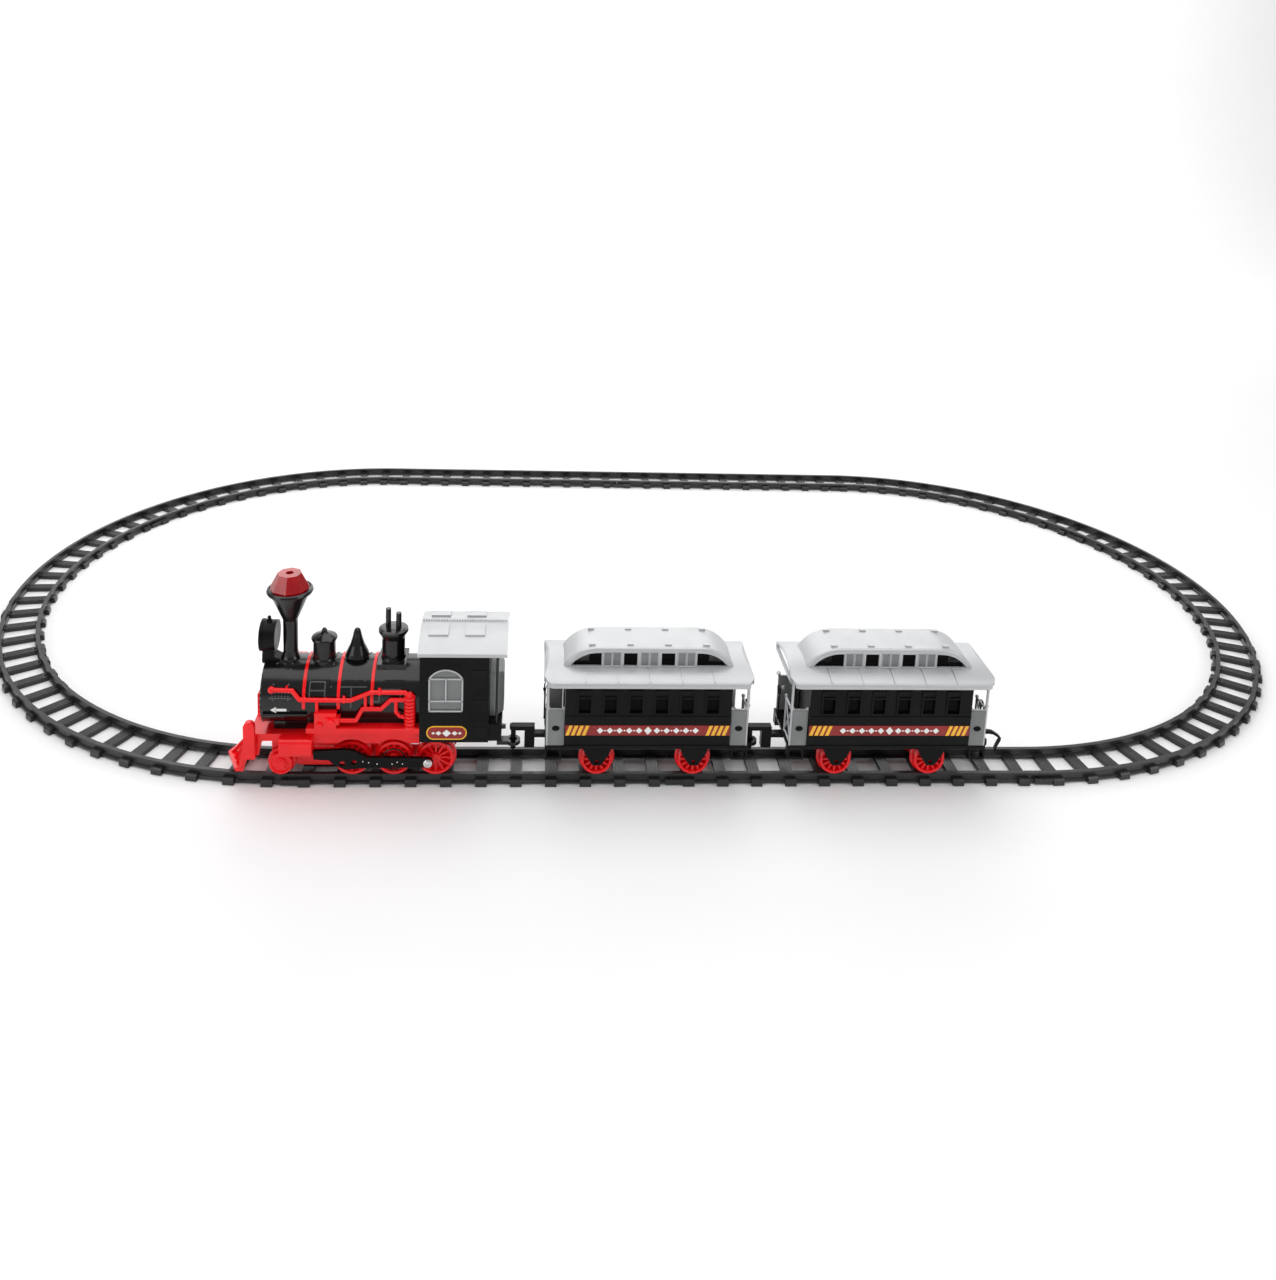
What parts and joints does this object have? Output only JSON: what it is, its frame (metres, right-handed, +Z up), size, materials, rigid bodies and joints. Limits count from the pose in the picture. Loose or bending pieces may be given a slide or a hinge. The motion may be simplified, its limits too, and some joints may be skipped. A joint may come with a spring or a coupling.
{
  "type": "electric train set",
  "caption": "Battery toy steam train with passenger coaches on an oval of clip-together track; wheels, side rods, gears, couplings, battery door and switch move.",
  "frame": {"origin": "centre of the whole set's footprint, on the floor under the track", "axes": "+X along the straights, the train heading towards -X on the -Y straight; +Y across the oval; +Z up"},
  "size_m": [1.3, 0.708, 0.1687],
  "materials": {
    "track_black": "matte",
    "red_plastic": "gloss",
    "black_plastic": "gloss",
    "red_clear": "clear",
    "clear_lens": "clear",
    "silver_plastic": "satin",
    "grey_plastic": "satin",
    "white_plastic": "satin",
    "battery_wrap": "gloss",
    "board_green": "satin",
    "steel": "bright"
  },
  "bodies": {
    "track": {"straight_track_1": "track_black", "straight_track_2": "track_black", "straight_track_3": "track_black", "straight_track_4": "track_black", "curved_track_1": "track_black", "curved_track_2": "track_black", "curved_track_3": "track_black", "curved_track_4": "track_black", "curved_track_5": "track_black", "curved_track_6": "track_black"},
    "loco": {"loco_frame": "red_plastic", "cowcatcher": "red_plastic", "boiler_shell": "black_plastic", "boiler_bands": "red_plastic", "chimney": "black_plastic", "smoke_cap": "red_clear", "sand_dome": "black_plastic", "bell_dome": "black_plastic", "steam_dome": "black_plastic", "headlamp": "black_plastic", "headlamp_lens": "clear_lens", "headlamp_bulb": "clear_lens", "left_pipework": "red_plastic", "right_pipework": "red_plastic", "cab_shell": "black_plastic", "cab_windows": "grey_plastic", "cab_roof": "silver_plastic", "cab_posts": "black_plastic", "battery_box": "white_plastic", "batteries": "battery_wrap", "circuit_board": "board_green", "motor": "steel", "loco_coupler": "black_plastic", "bottom_cover": "black_plastic", "cover_screws": "steel"},
    "pilot_wheels": {"pilot_wheelset": "red_plastic"},
    "front_drivers": {"front_driver_wheelset": "red_plastic"},
    "middle_drivers": {"middle_driver_wheelset": "red_plastic"},
    "rear_drivers": {"rear_driver_wheelset": "red_plastic", "drive_gear": "white_plastic", "crank_screws": "steel"},
    "side_rods": {"side_rods": "black_plastic"},
    "reduction_gear": {"reduction_gear": "white_plastic"},
    "motor_shaft": {"motor_pinion": "white_plastic"},
    "battery_door": {"battery_door": "grey_plastic"},
    "power_switch": {"power_switch": "black_plastic"},
    "coach_1": {"coach_1_body": "black_plastic", "coach_1_roof": "silver_plastic", "coach_1_underframe": "black_plastic", "coach_1_railings": "silver_plastic"},
    "coach_1_front_wheels": {"coach_1_front_wheelset": "red_plastic"},
    "coach_1_rear_wheels": {"coach_1_rear_wheelset": "red_plastic"},
    "coach_1_drawbar": {"coach_1_drawbar": "black_plastic"},
    "coach_2": {"coach_2_body": "black_plastic", "coach_2_roof": "silver_plastic", "coach_2_underframe": "black_plastic", "coach_2_railings": "silver_plastic"},
    "coach_2_front_wheels": {"coach_2_front_wheelset": "red_plastic"},
    "coach_2_rear_wheels": {"coach_2_rear_wheelset": "red_plastic"},
    "coach_2_drawbar": {"coach_2_drawbar": "black_plastic"}
  },
  "joints": [
    {"name": "train_roll", "type": "slide", "parent": "track", "child": "loco", "axis": [1, 0, 0], "range_m": [0, 0.075]},
    {"name": "pilot_axle_turn", "type": "hinge", "parent": "loco", "child": "pilot_wheels", "pos_m": [-0.307, -0.31935, 0.01825], "axis": [0, 1, 0], "range_deg": [-60, 537.47]},
    {"name": "front_axle_turn", "type": "hinge", "parent": "loco", "child": "front_drivers", "pos_m": [-0.252, -0.31935, 0.02325], "axis": [0, 1, 0], "range_deg": [-60, 366.94]},
    {"name": "middle_axle_turn", "type": "hinge", "parent": "loco", "child": "middle_drivers", "pos_m": [-0.2195, -0.31935, 0.02325], "axis": [0, 1, 0], "range_deg": [-60, 366.94]},
    {"name": "rear_axle_turn", "type": "hinge", "parent": "loco", "child": "rear_drivers", "pos_m": [-0.187, -0.31935, 0.02325], "axis": [0, 1, 0], "range_deg": [-60, 366.94]},
    {"name": "side_rod_pivot", "type": "hinge", "parent": "rear_drivers", "child": "side_rods", "pos_m": [-0.1926, -0.31935, 0.02325], "axis": [0, 1, 0], "range_deg": [-366.94, 60]},
    {"name": "reduction_gear_turn", "type": "hinge", "parent": "loco", "child": "reduction_gear", "pos_m": [-0.19625, -0.31935, 0.03267], "axis": [0, 1, 0], "range_deg": [-1058.51, 240]},
    {"name": "motor_turn", "type": "hinge", "parent": "loco", "child": "motor_shaft", "pos_m": [-0.20325, -0.31935, 0.04456], "axis": [0, 1, 0], "range_deg": [-720, 3666.64]},
    {"name": "coach_1_roll", "type": "slide", "parent": "track", "child": "coach_1", "axis": [1, 0, 0], "range_m": [0, 0.075]},
    {"name": "coach_1_front_axle_turn", "type": "hinge", "parent": "coach_1", "child": "coach_1_front_wheels", "pos_m": [-0.0605, -0.31935, 0.02175], "axis": [0, 1, 0], "range_deg": [-60, 403.77]},
    {"name": "coach_1_rear_axle_turn", "type": "hinge", "parent": "coach_1", "child": "coach_1_rear_wheels", "pos_m": [0.0165, -0.31935, 0.02175], "axis": [0, 1, 0], "range_deg": [-60, 403.77]},
    {"name": "coach_1_drawbar_swing", "type": "hinge", "parent": "coach_1", "child": "coach_1_drawbar", "pos_m": [-0.097, -0.31935, 0.032], "axis": [0, 0, 1], "range_deg": [-2, 2]},
    {"name": "coach_2_roll", "type": "slide", "parent": "track", "child": "coach_2", "axis": [1, 0, 0], "range_m": [0, 0.075]},
    {"name": "coach_2_front_axle_turn", "type": "hinge", "parent": "coach_2", "child": "coach_2_front_wheels", "pos_m": [0.1315, -0.31935, 0.02175], "axis": [0, 1, 0], "range_deg": [-60, 403.77]},
    {"name": "coach_2_rear_axle_turn", "type": "hinge", "parent": "coach_2", "child": "coach_2_rear_wheels", "pos_m": [0.2085, -0.31935, 0.02175], "axis": [0, 1, 0], "range_deg": [-60, 403.77]},
    {"name": "coach_2_drawbar_swing", "type": "hinge", "parent": "coach_2", "child": "coach_2_drawbar", "pos_m": [0.095, -0.31935, 0.032], "axis": [0, 0, 1], "range_deg": [-2, 2]},
    {"name": "battery_door_hinge", "type": "hinge", "parent": "loco", "child": "battery_door", "pos_m": [-0.1442, -0.30235, 0.058], "axis": [0, 0, 1], "range_deg": [0, 80]},
    {"name": "power_switch_slide", "type": "slide", "parent": "loco", "child": "power_switch", "axis": [0, 0, 1], "range_m": [0, 0.0025]}
  ],
  "couplings": [
    {"joint": "pilot_axle_turn", "follows": "train_roll", "rad_per_m": 111.11},
    {"joint": "front_axle_turn", "follows": "train_roll", "rad_per_m": 71.429},
    {"joint": "middle_axle_turn", "follows": "train_roll", "rad_per_m": 71.429},
    {"joint": "rear_axle_turn", "follows": "train_roll", "rad_per_m": 71.429},
    {"joint": "side_rod_pivot", "follows": "train_roll", "rad_per_m": -71.429},
    {"joint": "reduction_gear_turn", "follows": "train_roll", "rad_per_m": -190.48},
    {"joint": "motor_turn", "follows": "train_roll", "rad_per_m": 685.71},
    {"joint": "coach_1_roll", "follows": "train_roll", "ratio": 1},
    {"joint": "coach_1_front_axle_turn", "follows": "train_roll", "rad_per_m": 80},
    {"joint": "coach_1_rear_axle_turn", "follows": "train_roll", "rad_per_m": 80},
    {"joint": "coach_2_roll", "follows": "train_roll", "ratio": 1},
    {"joint": "coach_2_front_axle_turn", "follows": "train_roll", "rad_per_m": 80},
    {"joint": "coach_2_rear_axle_turn", "follows": "train_roll", "rad_per_m": 80}
  ]
}
